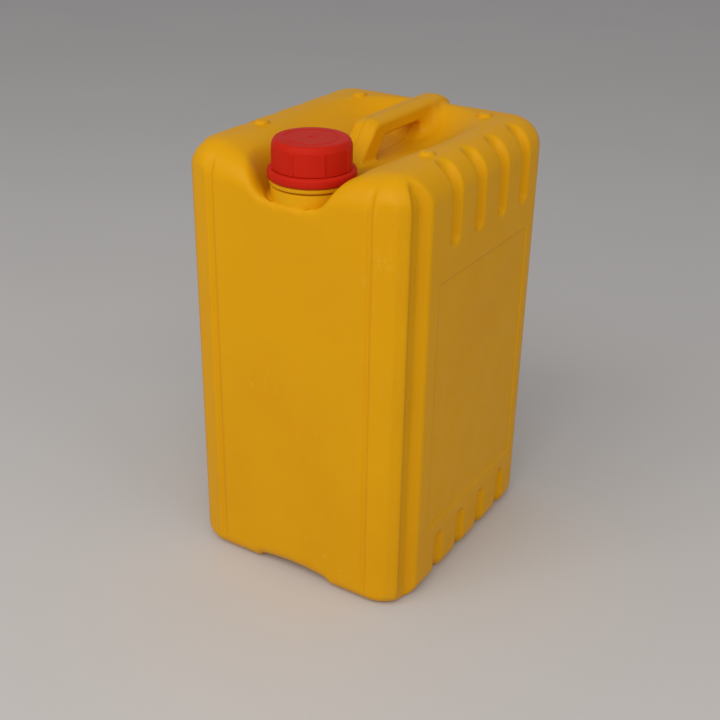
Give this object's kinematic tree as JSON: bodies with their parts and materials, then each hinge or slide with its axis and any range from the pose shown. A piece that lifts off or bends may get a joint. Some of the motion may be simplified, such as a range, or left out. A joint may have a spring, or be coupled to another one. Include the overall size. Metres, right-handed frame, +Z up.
{
  "type": "jerry can",
  "caption": "Stackable moulded jerry can with integral handle, recessed neck, ribbed screw cap and tamper ring.",
  "frame": {"origin": "centre of the footprint, on the floor", "axes": "+Z up, -Y towards the neck and front panel, +X towards the right side panel as seen from the front"},
  "size_m": [0.224, 0.254, 0.402],
  "materials": {
    "can_body": "satin blow-moulded polyethylene, amber yellow",
    "cap": "satin injection-moulded polyethylene, red",
    "liner": "closed-cell foam, off-white"
  },
  "bodies": {
    "can": {"can_body": "can_body"},
    "ring": {"tamper_ring": "cap"},
    "liner": {"cap_liner": "liner"},
    "cap": {"screw_cap": "cap"}
  },
  "joints": [
    {"name": "cap_lift", "type": "slide", "parent": "can", "child": "liner", "axis": [0, 0, 1], "range_m": [0, 0.0601]},
    {"name": "cap_turn", "type": "hinge", "parent": "liner", "child": "cap", "pos_m": [0, -0.091, 0.3978], "axis": [0, 0, 1], "range_deg": [0, 3600]},
    {"name": "ring_drop", "type": "slide", "parent": "can", "child": "ring", "axis": [0, 0, -1], "range_m": [0, 0.001]}
  ],
  "couplings": [
    {"joint": "cap_lift", "follows": "cap_turn", "m_per_rad": 0.00095493}
  ]
}
